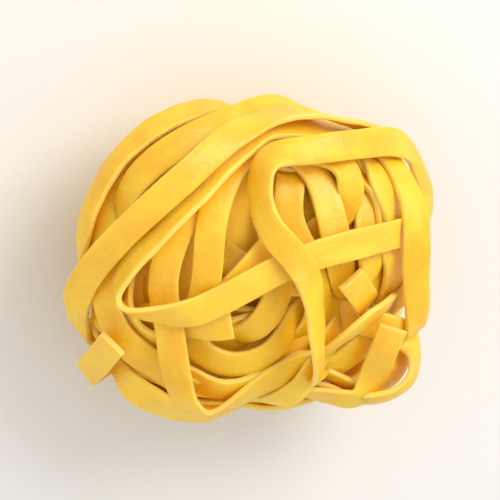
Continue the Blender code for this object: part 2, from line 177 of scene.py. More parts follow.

# The sizes of the dough's textures as repeats a metre, and the depths in mm that its painted shade fades
# in over
CLOUDS = 130.0
GRAIN = 1500.0
PITS = 620.0
STREAKS = (60.0, 900.0, 1.0)
MIDDLE_CLOUDS = 180.0
SHADE_DEPTH_FROM = 1.5
SHADE_DEPTH_TO = 9.0

# How the dough takes light: its refraction, the share of light that glows through it, how far each
# colour of that light gets, and the depth of its pits
DOUGH_IOR = 1.58
GLOW_SHARE = 0.5
GLOW_TINT = (1.0, 0.72, 0.24)
GLOW_DEPTH = 2.0 * MM
PIT_DEPTH = 0.22 * MM

# The stage and the camera; the lens is in mm
FLOOR_HALF = 1.5
LENS = 230.0
NEAR_CLIP = 0.01
CAMERA_DISTANCE = 0.6
AIM_SHIFT = 1.0 * MM

# The light: directions are given along the picture's right, its up and towards the camera,
# distances and sizes in metres, powers in watts
KEY_FROM = (0.85, 0.6, 0.9)
KEY_DISTANCE = 0.5
KEY_SIZE = 0.26
KEY_WATTS = 1.5
KEY_TINT = (1.0, 0.98, 0.96)
FILL_FROM = (-0.8, -0.3, 0.7)
FILL_DISTANCE = 0.7
FILL_SIZE = 0.6
FILL_WATTS = 0.4
FILL_TINT = (1.0, 0.99, 0.97)
SURROUND_TINT = (1.0, 0.985, 0.96, 1.0)
SURROUND_STRENGTH = 0.84


def unit(vectors):
    """Each row scaled to length one."""
    return vectors / np.linalg.norm(vectors, axis=-1, keepdims=True)


TOWARD = np.array([
    math.sin(VIEW_TIP) * math.cos(VIEW_BEARING),
    math.sin(VIEW_TIP) * math.sin(VIEW_BEARING),
    math.cos(VIEW_TIP),
])
UPWARD = unit(np.array([0.0, 1.0, 0.0]) - TOWARD[1] * TOWARD)
RIGHT = np.cross(UPWARD, TOWARD)


# The body and the strands on it

def half_axes(offsets, depth):
    """The body's half lengths along X, Y and Z at a depth; the top is taller than the underside."""
    height = np.where(offsets[..., 2] >= 0.0, RISE, DROP)
    full = np.stack([np.full(height.shape, HALF_LENGTH), np.full(height.shape, HALF_WIDTH), height], -1)
    return full - np.asarray(depth)[..., None]


def swell_of(offsets, depth):
    """The superellipsoid's own measure: 1 on the shell at this depth, less inside it."""
    return (np.abs(offsets / half_axes(offsets, depth)) ** SQUARENESS).sum(-1)


def on_shell(directions, depth):
    """The point of the shell at this depth along each direction from the centre."""
    reach = swell_of(directions, depth) ** (-1.0 / SQUARENESS)
    return CENTRE + reach[..., None] * directions


def outward(points):
    """The body's outward direction at each point, the slope of the superellipsoid's measure."""
    offsets = points - CENTRE
    axes = half_axes(offsets, np.zeros(len(offsets)))
    return unit(np.sign(offsets) * np.abs(offsets / axes) ** (SQUARENESS - 1.0) / axes)


def lift(right, up, depth):
    """Where the sight line through a place on the drawing plane meets the shell, by halving."""
    flat = right[:, None] * RIGHT + up[:, None] * UPWARD
    near = np.full(len(right), NEAREST_SIGHT)
    far = np.full(len(right), FARTHEST_SIGHT)
    for _ in range(SIGHT_HALVINGS):
        middle = (near + far) / 2.0
        inside = swell_of(flat + middle[:, None] * TOWARD, depth) < 1.0
        near = np.where(inside, middle, near)
        far = np.where(inside, far, middle)
    return CENTRE + flat + near[:, None] * TOWARD


def smooth_curve(stations, per_span=24):
    """A Catmull-Rom curve through the stations, which passes through each of them."""
    ends = np.vstack([2 * stations[0] - stations[1], stations, 2 * stations[-1] - stations[-2]])
    t = np.linspace(0.0, 1.0, per_span, endpoint=False)[:, None]
    spans = []
    for a, b, c, d in zip(ends[:-3], ends[1:-2], ends[2:-1], ends[3:]):
        spans.append(0.5 * (2 * b + (c - a) * t + (2 * a - 5 * b + 4 * c - d) * t**2
                            + (3 * b - a - 3 * c + d) * t**3))
    return np.vstack(spans + [stations[-1:]])


def softened(rows, passes):
    """The rows averaged with their neighbours, with the two ends held."""
    rows = rows.copy()
    for _ in range(passes):
        rows[1:-1] = 0.25 * rows[:-2] + 0.5 * rows[1:-1] + 0.25 * rows[2:]
    return rows


def evenly_spaced(points, step, *along):
    """The curve read again at even steps, with any values that run along it."""
    lengths = np.concatenate([[0.0], np.cumsum(np.linalg.norm(np.diff(points, axis=0), axis=1))])
    places = np.linspace(0.0, lengths[-1], max(4, int(round(lengths[-1] / step)) + 1))
    moved = np.stack([np.interp(places, lengths, points[:, k]) for k in range(3)], -1)
    return [moved] + [np.interp(places, lengths, values) for values in along]


def run_on(start, heading, length, depth):
    """The hidden rest of a strand: it runs on round the body and sinks from its depth to BURIED."""
    radial = unit(start - CENTRE)
    ahead = unit(heading - (heading @ radial) * radial)
    share = np.linspace(0.0, 1.0, max(3, int(length / RUN_ON_STEP)) + 1)[1:]
    angle = share * length / GIRTH_RADIUS
    directions = np.cos(angle)[:, None] * radial + np.sin(angle)[:, None] * ahead
    return on_shell(directions, depth + (BURIED - depth) * share)


def strand(points, depth, roll, lies):
    """A strand's points, width directions and rank: flat on the body, rolled about its length.

    The rank is its depth in mm, which says which of two strands lies on the other; lies lowers or
    raises it where the real strands cross the other way.
    """
    tangents = unit(np.gradient(points, axis=0))
    facing = outward(points)
    facing = unit(facing - (facing * tangents).sum(-1, keepdims=True) * tangents)
    width = np.cross(facing, tangents)
    turn = np.broadcast_to(roll, len(points))[:, None]
    width = width * np.cos(turn) + facing * np.sin(turn)
    return {"points": points, "width": width, "rank": depth / MM + lies}


def route(stations, before=0.0, after=0.0, lies=0.0):
    """A strand by a few stations (right, up, depth in mm, roll in degrees) on the drawing plane.

    before and after are the lengths in mm that run on, hidden, at its two ends and sink into the nest.
    """
    stations = np.array(stations, float)
    placed = lift(stations[:, 0] * MM, stations[:, 1] * MM, stations[:, 2] * MM)
    curve = smooth_curve(placed)
    where = np.linspace(0, len(stations) - 1, len(curve))
    depth = np.interp(where, range(len(stations)), stations[:, 2] * MM)
    roll = np.interp(where, range(len(stations)), stations[:, 3])
    if before:
        lead = run_on(curve[0], curve[0] - curve[4], before * MM, depth[0])
        curve = np.vstack([lead[::-1], curve])
        depth = np.concatenate([np.linspace(BURIED, depth[0], len(lead)), depth])
        roll = np.concatenate([np.full(len(lead), roll[0]), roll])
    if after:
        rest = run_on(curve[-1], curve[-1] - curve[-5], after * MM, depth[-1])
        curve = np.vstack([curve, rest])
        depth = np.concatenate([depth, np.linspace(depth[-1], BURIED, len(rest))])
        roll = np.concatenate([roll, np.full(len(rest), roll[-1])])
    points, depth, roll = evenly_spaced(curve, SETTLE_STEP, depth, roll)
    points = softened(points, PATH_PASSES)
    return strand(points, depth, np.radians(softened(roll, ROLL_PASSES)), lies)


def wind(lean, bearing, shift, start, sweep, depth, wave=(0.03, 2.0, 0.0), tuck=7.0, tuck_length=18.0,
         lies=0.0):
    """A strand where a leaning plane cuts the body: lean 0 is along the drawing plane, 90 across it.

    bearing is the way the plane's normal leans, shift moves the plane off the centre, start and
    sweep are degrees round it, depth is in mm, and wave = (size, count, phase) lets it wander.
    """
    lean, bearing = math.radians(lean), math.radians(bearing)
    side = math.cos(bearing) * RIGHT + math.sin(bearing) * UPWARD
    normal = math.cos(lean) * TOWARD + math.sin(lean) * side
    level = math.cos(bearing) * UPWARD - math.sin(bearing) * RIGHT
    climb = np.cross(normal, level)
    share = np.linspace(0.0, 1.0, WIND_SAMPLES)
    angle = np.radians(start + sweep * share)[:, None]
    height = shift + wave[0] * np.sin(wave[1] * angle + wave[2])
    directions = unit(np.cos(angle) * level + np.sin(angle) * climb + height * normal)
    length = math.radians(sweep) * GIRTH_RADIUS / MM
    from_ends = np.minimum(share, 1.0 - share) * length
    sunk = (depth + tuck * np.clip(1.0 - from_ends / tuck_length, 0.0, 1.0) ** 2) * MM
    points, sunk = evenly_spaced(on_shell(directions, sunk), SETTLE_STEP, sunk)
    return strand(points, sunk, 0.0, lies)


def strands_in_the_opening():
    """The strands that the open top shows, by name, each laid out from its start to its end."""
    return {
        "curl": route([
            (33.4, 9.0, 1.2, -30), (32.4, 14.3, 1.0, -35), (30.0, 18.2, 0.8, -30),
            (26.0, 20.6, 0.6, -25), (20.0, 20.2, 0.5, -20), (14.0, 19.3, 0.4, -15),
            (8.4, 18.0, 0.5, 5), (4.2, 16.9, 0.8, 35), (2.3, 13.9, 1.3, 58), (2.0, 9.5, 1.8, 62),
            (3.0, 5.6, 1.6, 46), (5.4, 2.4, 1.0, 12), (8.6, -0.8, 0.5, -5), (10.9, -4.6, 0.2, -25),
            (11.8, -9.0, 0.2, -40), (12.2, -14.0, 0.4, -48), (12.4, -18.0, 1.0, -60),
            (12.0, -20.6, 2.6, -72), (11.4, -22.2, 5.0, -80), (10.8, -22.8, 8.0, -85),
        ], before=26, lies=-3.0),
        "hairpin": route([
            (21.0, 23.9, 2.4, -10), (12.0, 24.3, 2.2, -10), (4.0, 23.8, 2.0, 5),
            (-1.0, 21.0, 1.8, 35), (-4.8, 16.0, 1.6, 52), (-9.2, 10.6, 1.4, 62),
            (-13.8, 6.0, 1.4, 58), (-18.8, 1.0, 1.4, 50), (-22.4, -3.2, 1.5, 44),
            (-24.0, -6.6, 1.6, 46), (-23.2, -9.2, 1.8, 60), (-20.5, -10.2, 1.8, 66),
            (-16.0, -10.5, 1.7, 45), (-11.0, -10.4, 1.6, 15), (-6.0, -8.6, 1.6, 0),
            (0.0, -5.4, 1.6, 0), (7.0, -1.8, 1.8, 0), (15.0, 0.9, 1.8, 0), (22.0, 2.7, 1.8, 0),
            (29.0, 4.4, 2.2, 10),
        ], before=16, after=30, lies=-1.5),
        "u_turn": route([
            (-6.0, 17.0, 4.2, 10), (-10.5, 10.0, 3.6, 0), (-13.6, 4.0, 3.0, 0),
            (-15.6, -2.0, 2.6, 0), (-15.9, -7.5, 2.8, 0), (-14.8, -13.0, 2.0, 0),
            (-14.1, -18.5, 1.2, 0), (-13.2, -23.5, 0.6, 5), (-11.8, -27.6, 0.4, 15),
            (-8.8, -29.6, 0.6, 20), (-4.2, -29.2, 1.0, 12), (0.5, -27.4, 1.8, -5),
            (6.0, -24.6, 2.6, -25), (11.0, -22.4, 3.0, -5), (14.8, -20.6, 2.4, 25),
            (18.0, -17.0, 1.6, 35), (21.4, -13.6, 1.2, 38), (24.8, -11.6, 1.4, 35),
            (28.2, -12.0, 2.4, 30), (30.6, -15.0, 3.4, 20),
        ], before=14, after=14),
        "middle_upright": route([
            (13.0, 22.3, 3.4, 10), (7.0, 22.6, 3.0, 20), (1.0, 21.0, 2.8, 20),
            (-3.3, 17.0, 2.6, 10), (-5.8, 11.5, 2.6, 0), (-7.2, 6.0, 2.8, 0), (-7.6, 0.0, 3.0, 0),
            (-8.0, -5.5, 3.4, 0), (-9.2, -11.0, 4.0, 0), (-10.0, -16.0, 4.2, -5),
            (-7.8, -19.8, 4.2, -15), (-3.5, -21.2, 4.2, -20), (1.5, -20.8, 4.2, -20),
            (6.5, -18.8, 4.6, -10),
        ], before=14, after=18),
        "right_upright": route([
            (8.0, 19.5, 4.0, 0), (10.6, 15.3, 3.6, 5), (13.0, 10.0, 3.2, 10), (15.8, 4.6, 3.0, 10),
            (18.2, -1.0, 3.2, 10), (21.0, -6.0, 4.6, 10), (23.5, -10.0, 6.6, 10),
        ], before=18, after=16),
        "cut_end": route([
            (19.0, -4.4, 2.0, 5), (22.0, -8.4, 2.6, 5), (24.4, -11.6, 4.6, 5),
            (26.2, -14.5, 7.0, 5),
        ], after=20),
        "end_by_the_rim": route([
            (26.5, -13.2, 0.4, 40), (24.6, -18.0, 0.6, 45), (22.8, -22.6, 1.0, 42),
            (21.0, -26.5, 1.6, 35),
        ], after=26, lies=-2.0),
        "rim_loop": route([
            (27.6, -15.2, 1.0, 14), (30.2, -16.4, 0.8, 12), (31.9, -19.4, 0.8, 10),
            (31.3, -23.2, 0.8, 10), (28.4, -26.5, 0.8, 10), (23.6, -28.6, 1.0, 8),
            (17.5, -29.4, 1.4, 5),
        ], before=9, after=30),
        "loop_inside": route([
            (27.0, -15.0, 2.2, 20), (29.6, -18.8, 1.8, 26), (29.0, -22.8, 1.8, 28),
            (25.8, -26.2, 1.8, 26), (20.5, -27.8, 2.2, 15),
        ], before=9, after=20),
        "right_fall": route([
            (27.6, 17.4, 1.6, 30), (29.8, 11.0, 1.0, 32), (30.7, 4.5, 0.8, 34),
            (30.5, -2.5, 0.8, 34), (31.1, -9.0, 0.9, 30), (31.4, -14.5, 1.4, 25),
        ], before=30, after=30, lies=-1.5),
        "right_edge": route([
            (23.4, 18.5, 3.0, 5), (24.6, 13.5, 2.6, 0), (26.3, 9.5, 2.8, -5), (27.2, 5.5, 3.2, -10),
            (27.6, 0.0, 3.4, -10), (27.2, -5.5, 3.8, -10), (26.2, -10.5, 5.0, -5),
        ], before=20, after=20),
        "eye": route([
            (12.0, 20.0, 3.6, 10), (17.0, 17.2, 2.6, 5), (18.8, 13.5, 2.6, 0), (17.6, 9.5, 3.4, 0),
            (15.0, 6.0, 4.6, 0),
        ], before=16, after=20),
        "right_inner": route([
            (20.0, 17.0, 5.2, 20), (22.0, 11.5, 4.4, 30), (23.0, 6.0, 3.8, 20), (24.0, 0.0, 3.2, 5),
            (25.2, -5.5, 3.6, 5), (26.0, -9.5, 5.0, 5),
        ], before=18, after=20),
        "deep_fall": route([
            (7.4, 17.0, 5.6, 0), (7.8, 12.5, 5.4, 10), (8.6, 7.5, 5.2, 20), (10.6, 1.5, 4.8, 10),
            (13.2, -3.8, 4.2, 0), (15.2, -8.0, 4.2, 0), (16.5, -12.5, 4.6, 0),
            (16.0, -17.0, 5.5, 0),
        ], before=14, after=16),
        "deep_middle": route([
            (6.5, 17.0, 6.0, 0), (5.6, 12.0, 5.4, 0), (5.6, 8.0, 5.4, 0), (6.4, 2.0, 5.6, 0),
            (6.6, -4.0, 4.8, 0), (5.0, -9.5, 4.8, 0), (2.0, -14.0, 5.0, 0), (-1.5, -18.5, 5.6, 0),
        ], before=14, after=16),
        "deep_slant": route([
            (10.5, 6.5, 5.6, 0), (4.6, 1.2, 4.4, 0), (0.4, -2.6, 4.0, 0), (-4.2, -7.2, 4.2, 0),
            (-9.0, -12.0, 5.0, 0),
        ], before=16, after=16),
        "inner_end": route([
            (-3.4, -12.6, 3.0, 0), (-8.0, -13.4, 3.0, 0), (-13.0, -12.4, 3.4, 0),
            (-18.0, -12.8, 4.0, 0), (-23.0, -13.0, 4.4, 10),
        ], after=24),
        "left_rim": route([
            (-20.0, 4.0, 3.0, -15), (-24.6, -2.5, 2.4, -15), (-27.0, -8.0, 2.0, -15),
            (-25.6, -13.0, 1.8, -25), (-22.0, -18.3, 1.6, -35), (-18.0, -22.4, 1.8, -35),
            (-13.5, -25.4, 2.6, -20), (-7.0, -26.0, 4.0, -10),
        ], before=20, after=16),
        "thin_ring": route([
            (-24.2, -8.0, 3.0, 40), (-22.8, -12.3, 3.0, 40), (-19.6, -15.6, 3.0, 45),
            (-15.0, -17.2, 3.4, 50), (-9.0, -17.0, 4.6, 50),
        ], before=18, after=18),
        "low_ring": route([
            (-31.0, -13.6, 1.8, -20), (-27.4, -18.8, 1.6, -35), (-22.8, -22.6, 1.4, -45),
            (-18.3, -25.9, 1.3, -50), (-13.2, -28.6, 1.5, -50), (-7.0, -29.6, 2.0, -40),
            (0.0, -28.5, 2.4, -35), (6.0, -26.0, 3.0, -30), (13.0, -23.0, 3.4, -30),
        ], before=26, after=20, lies=-1.5),
        "flap": route([
            (-24.9, -15.9, -0.4, 0), (-28.4, -19.9, -0.4, 0), (-31.6, -23.0, 0.0, 0),
        ], after=26, lies=-2.0),
    }


def belts_over_the_shoulder():
    """The broad strands that fan out over the left shoulder, the uppermost first."""
    return {
        "broad_belt": route([
            (28.0, 23.8, 0.8, 35), (18.0, 24.9, 0.6, 38), (9.0, 25.4, 0.8, 34),
            (2.5, 24.4, 1.0, 15), (-4.0, 20.8, 0.8, -15), (-10.0, 15.2, 0.5, -25),
            (-15.0, 11.0, 0.4, -25), (-20.0, 6.5, 0.4, -25), (-25.0, 1.6, 0.4, -30),
            (-29.0, -3.5, 0.5, -35), (-31.4, -9.5, 1.0, -32), (-31.8, -15.0, 1.4, -28),
        ], before=24, after=26, lies=-1.5),
        "second_belt": route([
            (12.0, 28.3, 1.8, -20), (3.0, 28.0, 1.2, -30), (-4.0, 25.6, 1.0, -25),
            (-10.0, 22.4, 1.0, -25), (-15.0, 19.3, 1.0, -25), (-20.0, 16.0, 1.2, -15),
            (-24.5, 11.5, 1.6, 0), (-27.8, 6.0, 2.0, 8), (-29.8, 0.0, 2.4, 8),
        ], before=20, after=24),
        "third_belt": route([
            (-9.0, 19.5, 2.2, -20), (-16.0, 15.8, 2.0, -20), (-21.0, 12.0, 1.8, -15),
            (-25.0, 7.5, 1.8, 0), (-28.0, 1.5, 2.0, 5), (-30.5, -5.0, 2.4, 5),
        ], before=20, after=20),
        "outer_belt": route([
            (-6.0, 28.4, 1.6, -20), (-13.0, 25.8, 1.0, -20), (-19.0, 22.2, 0.6, -10),
            (-24.5, 17.0, 0.6, 0), (-28.5, 10.5, 0.8, 0), (-31.0, 3.0, 1.0, 0),
            (-32.5, -4.0, 1.4, 0),
        ], before=26, after=26),
    }


def belts_round_the_sides():
    """The strands round the sides, lower and lower, and those that pass under the nest."""
    belts = []
    for k in range(SIDE_BELTS):
        bearing = GOLDEN_ANGLE * k
        belts.append(wind(5 + 5 * (k % 4), bearing, -0.34 - 0.07 * k, bearing + 90 * (k % 3),
                          220 + 12 * (k % 5), 0.8 + 0.8 * (k % 3), wave=(0.06, 2 + k % 2, bearing)))
    for k in range(UNDER_BELTS):
        bearing = 180.0 / UNDER_BELTS * k
        belts.append(wind(80 + 5 * (k % 3), bearing, 0.24 * (k % 4 - 1.5), 190 - 5 * (k % 2), 160,
                          1.0 + 0.8 * (k % 3), wave=(0.05, 3, bearing)))
    return belts


def hidden_turns():
    """The inner turns of the nest: at random leans in its middle, and round and round below its rim."""
    draw = np.random.default_rng(FILLER_SEED)
    turns = []
    for k in range(FILLER_COUNT):
        turns.append(wind(draw.uniform(*FILLER_LEANS), GOLDEN_ANGLE * k + draw.uniform(*FILLER_BEARINGS),
                          draw.uniform(*FILLER_SHIFTS), draw.uniform(0.0, 360.0),
                          draw.uniform(*FILLER_SWEEPS), FILLER_DEPTH + FILLER_DEEPENS * k / FILLER_COUNT,
                          wave=(0.08, 2.0, draw.uniform(0.0, 6.0)), tuck=3.0))
    for start in LINING_STARTS:
        angle = np.radians(np.linspace(start, start + LINING_SWEEP, LINING_STATIONS))
        along, up = (np.sign(part) * np.abs(part) ** (2.0 / SQUARENESS)
                     for part in (np.cos(angle), np.sin(angle)))
        depth = np.full(LINING_STATIONS, LINING_DEPTH)
        roll = np.full(LINING_STATIONS, LINING_ROLL)
        stations = np.stack([LINING_RIGHT * along, LINING_UP * up, depth, roll], -1)
        turns.append(route(stations, before=10.0, after=10.0))
    return turns


def foot_coil():
    """The flattened underside: one strand coiled on the tray, which rises with the body's underside."""
    angle = np.linspace(0.0, 2.0 * np.pi * COIL_TURNS, WIND_SAMPLES)
    reach = COIL_START + COIL_PITCH * angle / (2.0 * np.pi)
    reach = reach * (1.0 + COIL_WAVE * np.sin(2.0 * angle + 1.0))
    x, y = reach * np.cos(angle), reach * np.sin(angle)
    inside = 1.0 - (np.abs(x) / HALF_LENGTH) ** SQUARENESS - (np.abs(y) / HALF_WIDTH) ** SQUARENESS
    underside = WIDEST_LEVEL - DROP * inside ** (1.0 / SQUARENESS)
    level = np.maximum(underside - COIL_DROP, RIBBON_THICKNESS / 2 + COIL_LIFT)
    points = softened(evenly_spaced(np.stack([x, y, level], -1), SETTLE_STEP)[0], PATH_PASSES)
    return strand(points, np.zeros(len(points)), 0.0, 0.0)


# Pressing the strands apart until they rest on each other

def pairs_within(spots, radius):
    """All pairs of spots closer than the radius, found by sorting the spots into a grid of cells."""
    cell = np.floor((spots - spots.min(0)) / radius).astype(np.int64) + 1
    size = cell.max(0) + 2
    key = (cell[:, 0] * size[1] + cell[:, 1]) * size[2] + cell[:, 2]
    order = np.argsort(key, kind="stable")
    key = key[order]
    near = (-1, 0, 1)
    steps = [(i, j, k) for i in near for j in near for k in near if (i, j, k) >= (0, 0, 0)]
    firsts = []
    seconds = []
    for i, j, k in steps:
        apart = (i * size[1] + j) * size[2] + k
        low = np.searchsorted(key, key + apart, "left") if apart else np.arange(len(key)) + 1
        count = np.maximum(np.searchsorted(key, key + apart, "right") - low, 0)
        first = np.repeat(np.arange(len(key)), count)
        begins = np.repeat(low - np.cumsum(count) + count, count)
        firsts.append(order[first])
        seconds.append(order[begins + np.arange(len(first))])
    first = np.concatenate(firsts)
    second = np.concatenate(seconds)
    close = ((spots[first] - spots[second]) ** 2).sum(1) < radius * radius
    return first[close], second[close]


def spread_along(values, joined, passes):
    """Values averaged with the rows before and after them on the same strand."""
    for _ in range(passes):
        before = np.vstack([values[:1], np.where(joined, values[:-1], values[1:])])
        after = np.vstack([np.where(joined, values[1:], values[:-1]), values[-1:]])
        values = 0.5 * values + 0.25 * (before + after)
    return values


def directions_of(points, width, joined):
    """Tangent, width and face directions of every row, read within its own strand."""
    ahead = np.vstack([np.where(joined, points[1:] - points[:-1], 0.0), np.zeros((1, 3))])
    behind = np.vstack([np.zeros((1, 3)), np.where(joined, points[1:] - points[:-1], 0.0)])
    tangent = unit(ahead + behind)
    width = unit(width - (width * tangent).sum(1, keepdims=True) * tangent)
    return tangent, width, np.cross(tangent, width)


def crowding(first, second, tangent, face, out, gap):
    """The direction to part two touching spots, pointing from the inner one to the outer one.

    Where strands cross it is square to both; where they run side by side it is their faces' mean.
    """
    crossing = np.cross(tangent[first], tangent[second])
    sine = np.linalg.norm(crossing, axis=1, keepdims=True)
    agree = np.where((face[first] * face[second]).sum(1, keepdims=True) < 0.0, -1.0, 1.0)
    shared = unit(face[first] + face[second] * agree)
    crossing = crossing / np.maximum(sine, 1e-6)
    crossing *= np.where((crossing * shared).sum(1, keepdims=True) < 0.0, -1.0, 1.0)
    mix = np.clip((sine - SIDE_BY_SIDE) / SIDE_BY_SIDE, 0.0, 1.0)
    way = unit(crossing * mix + shared * (1.0 - mix))
    lifts = (way * unit(out[first] + out[second])).sum(1, keepdims=True)
    parted = (way * gap).sum(1, keepdims=True)
    return way * np.where(np.where(np.abs(lifts) > CLEAR_LIFT, lifts, parted) < 0.0, -1.0, 1.0)


def settle(strands, around=()):
    """Presses the strands apart by their thickness, lane by lane, and keeps each bend smooth.

    Each round finds the spots of different strands that overlap, moves the outer one out and the
    inner one in along the direction that parts them, spreads the moves along each strand, and
    lifts what has sunk below the floor. The strands in around have settled already and stay put.
    """
    everything = [*around, *strands]
    start = np.concatenate([s["points"] for s in everything])
    across = np.concatenate([s["width"] for s in everything])
    rank = np.concatenate([s["rank"] for s in everything])
    owner = np.concatenate([np.full(len(s["points"]), k) for k, s in enumerate(everything)])
    along = np.concatenate([np.arange(len(s["points"])) for s in everything])
    free = (owner >= len(around)).astype(float)
    joined = (owner[1:] == owner[:-1])[:, None]
    lanes = np.linspace(-0.5, 0.5, LANES) * RIBBON_WIDTH
    row = np.repeat(np.arange(len(start)), LANES)
    lane = np.tile(lanes, len(start))
    moved = np.zeros_like(start)
    turned = np.zeros_like(start)
    for number in range(SETTLE_ROUNDS):
        points = start + moved
        tangent, width, face = directions_of(points, across + turned, joined)
        out = outward(points)
        spots = points[row] + lane[:, None] * width[row]
        if number % SEARCH_EVERY == 0:
            first, second = pairs_within(spots, SEARCH_RADIUS)
            rows_apart = np.abs(along[row[first]] - along[row[second]])
            apart = (owner[row[first]] != owner[row[second]]) | (rows_apart > OWN_TURN / SETTLE_STEP)
            apart &= (free[row[first]] + free[row[second]]) > 0.0
            first, second = first[apart], second[apart]
            swap = rank[row[first]] > rank[row[second]]
            first, second = np.where(swap, second, first), np.where(swap, first, second)
            both = free[row[first]] * free[row[second]]
            share = np.where(both > 0.0, OUTER_SHARE, free[row[first]])
        gap = spots[first] - spots[second]
        way = crowding(row[first], row[second], tangent, face, out, gap)
        parted = (gap * way).sum(1)
        aside = np.linalg.norm(gap - parted[:, None] * way, axis=1)
        short = np.where(aside < SPOT_RADIUS, RIBBON_THICKNESS * CLEARANCE - parted, 0.0)
        hit = short > 0.0
        push = np.minimum(short[hit], SPOT_RADIUS)[:, None] * way[hit]
        force = np.zeros_like(spots)
        for k in range(3):
            force[:, k] += np.bincount(first[hit], push[:, k] * share[hit], len(spots))
            force[:, k] -= np.bincount(second[hit], push[:, k] * (1.0 - share[hit]), len(spots))
        touches = np.bincount(first[hit], minlength=len(spots))
        touches += np.bincount(second[hit], minlength=len(spots))
        force = (force / np.maximum(touches, 1)[:, None]).reshape(-1, LANES, 3)
        touched = (touches > 0).reshape(-1, LANES).sum(1)[:, None]
        shove = force.sum(1) / np.maximum(touched, 1)
        twist = (force * lanes[None, :, None]).sum(1) / (lanes**2).sum()
        has = (touched > 0) * free[:, None]
        weight = np.maximum(spread_along(has, joined, SPREAD_PASSES), LEAST_SPREAD)
        moved += SHOVE_GAIN * spread_along(shove * has, joined, SPREAD_PASSES) / weight
        turned += TWIST_GAIN * spread_along(twist * has, joined, SPREAD_PASSES) / weight
        moved = spread_along(moved * HOLD, joined, HOLD_PASSES)
        turned = spread_along(turned * HOLD, joined, HOLD_PASSES)
        _, width, face = directions_of(start + moved, across + turned, joined)
        reach = np.abs(width[:, 2]) * RIBBON_WIDTH / 2 + np.abs(face[:, 2]) * RIBBON_THICKNESS / 2
        moved[:, 2] += np.clip(reach - (start + moved)[:, 2], 0.0, None)
    _, width, _ = directions_of(start + moved, across + turned, joined)
    points = start + moved
    return [{"points": points[owner == k], "width": width[owner == k], "rank": rank[owner == k]}
            for k in range(len(around), len(everything))]


# Ribbons

def wander(places, wavelength, draw):
    """A smooth random line between about -1 and 1: three sines of unlike length and phase."""
    total = np.zeros_like(places)
    for k, size in enumerate((0.55, 0.3, 0.15)):
        length = wavelength / (1.0 + 0.83 * k) * draw.uniform(0.85, 1.15)
        total += size * np.sin(2.0 * np.pi * places / length + draw.uniform(0.0, 2.0 * np.pi))
    return total


def ribbon_outline():
    """A flat bar's outline, counter-clockwise: corner arcs, with three spots along each face.

    Gives the share of the half width, the share of the half thickness, how far each spot pulls in at
    a corner across and out, and 1 where the spot is on a cut edge.
    """
    arc = np.radians([10.0, 45.0, 80.0])
    across = []
    out = []
    pull = []
    edge = []
    for side, face, angles in ((1, 1, arc), (-1, 1, arc[::-1]), (-1, -1, arc), (1, -1, arc[::-1])):
        for angle in angles:
            across.append(side)
            out.append(face)
            pull.append((side * (math.cos(angle) - 1.0), face * (math.sin(angle) - 1.0)))
            edge.append(math.cos(angle) ** 2)
        if side == face:
            for place in (0.5, 0.0, -0.5):
                across.append(side * place)
                out.append(face)
                pull.append((0.0, 0.0))
                edge.append(0.0)
    return np.array(across), np.array(out), np.array(pull), np.array(edge)


def ribbon_surface(points, width, draw):
    """One ribbon: its outline carried along the strand as a grid of rows by outline spots.

    The ribbon's width and thickness vary a little, its face is cupped across, and its two edges
    ripple in and out as dried dough does.
    """
    points, *width = evenly_spaced(points, ROW_STEP, *width.T)
    points = softened(points, BEND_PASSES)
    tangent = unit(np.gradient(points, axis=0))
    width = softened(np.stack(width, -1), BEND_PASSES)
    width = unit(width - (width * tangent).sum(1, keepdims=True) * tangent)
    face = np.cross(tangent, width)
    places = np.arange(len(points)) * ROW_STEP
    across, out, pull, edge = ribbon_outline()
    half_width = RIBBON_WIDTH / 2 * (1.0 + WIDTH_VARIES * wander(places, WIDTH_WAVE, draw))
    half_thick = RIBBON_THICKNESS / 2 * (1.0 + THICKNESS_VARIES * wander(places, THICKNESS_WAVE, draw))
    cup = CUP_DEPTH * (wander(places, CUP_WAVE, draw) + draw.uniform(-0.6, 0.6))
    ripple = [RIPPLE * wander(places, RIPPLE_WAVE, draw) for _ in range(2)]
    sideways = half_width[:, None] * across + EDGE_RADIUS * pull[:, 0]
    bow = cup[:, None] * (1.0 - across**2) * 1.5 - cup[:, None] * 0.75
    flutter = np.where(across > 0, ripple[0][:, None], ripple[1][:, None]) * np.abs(across) ** 3
    outwards = half_thick[:, None] * out + EDGE_RADIUS * pull[:, 1] + bow + flutter
    spots = points[:, None] + sideways[..., None] * width[:, None] + outwards[..., None] * face[:, None]
    return spots, edge


def depth_below_the_skin(spots):
    """How far each spot lies below the rounded body's skin, along the line to its centre."""
    offsets = spots - CENTRE
    reach = swell_of(offsets, 0.0) ** (1.0 / SQUARENESS)
    return np.linalg.norm(offsets, axis=1) * (1.0 / reach - 1.0)


def closed_faces(rows, around):
    """Quads between the rows of one ribbon, and its two cut ends as flat faces."""
    base = np.arange(rows - 1)[:, None] * around
    here = np.arange(around)[None, :]
    there = (here + 1) % around
    quads = np.stack([base + here, base + there, base + around + there, base + around + here], -1)
    ends = [np.arange(around)[::-1], (rows - 1) * around + np.arange(around)]
    return quads.reshape(-1, 4), ends


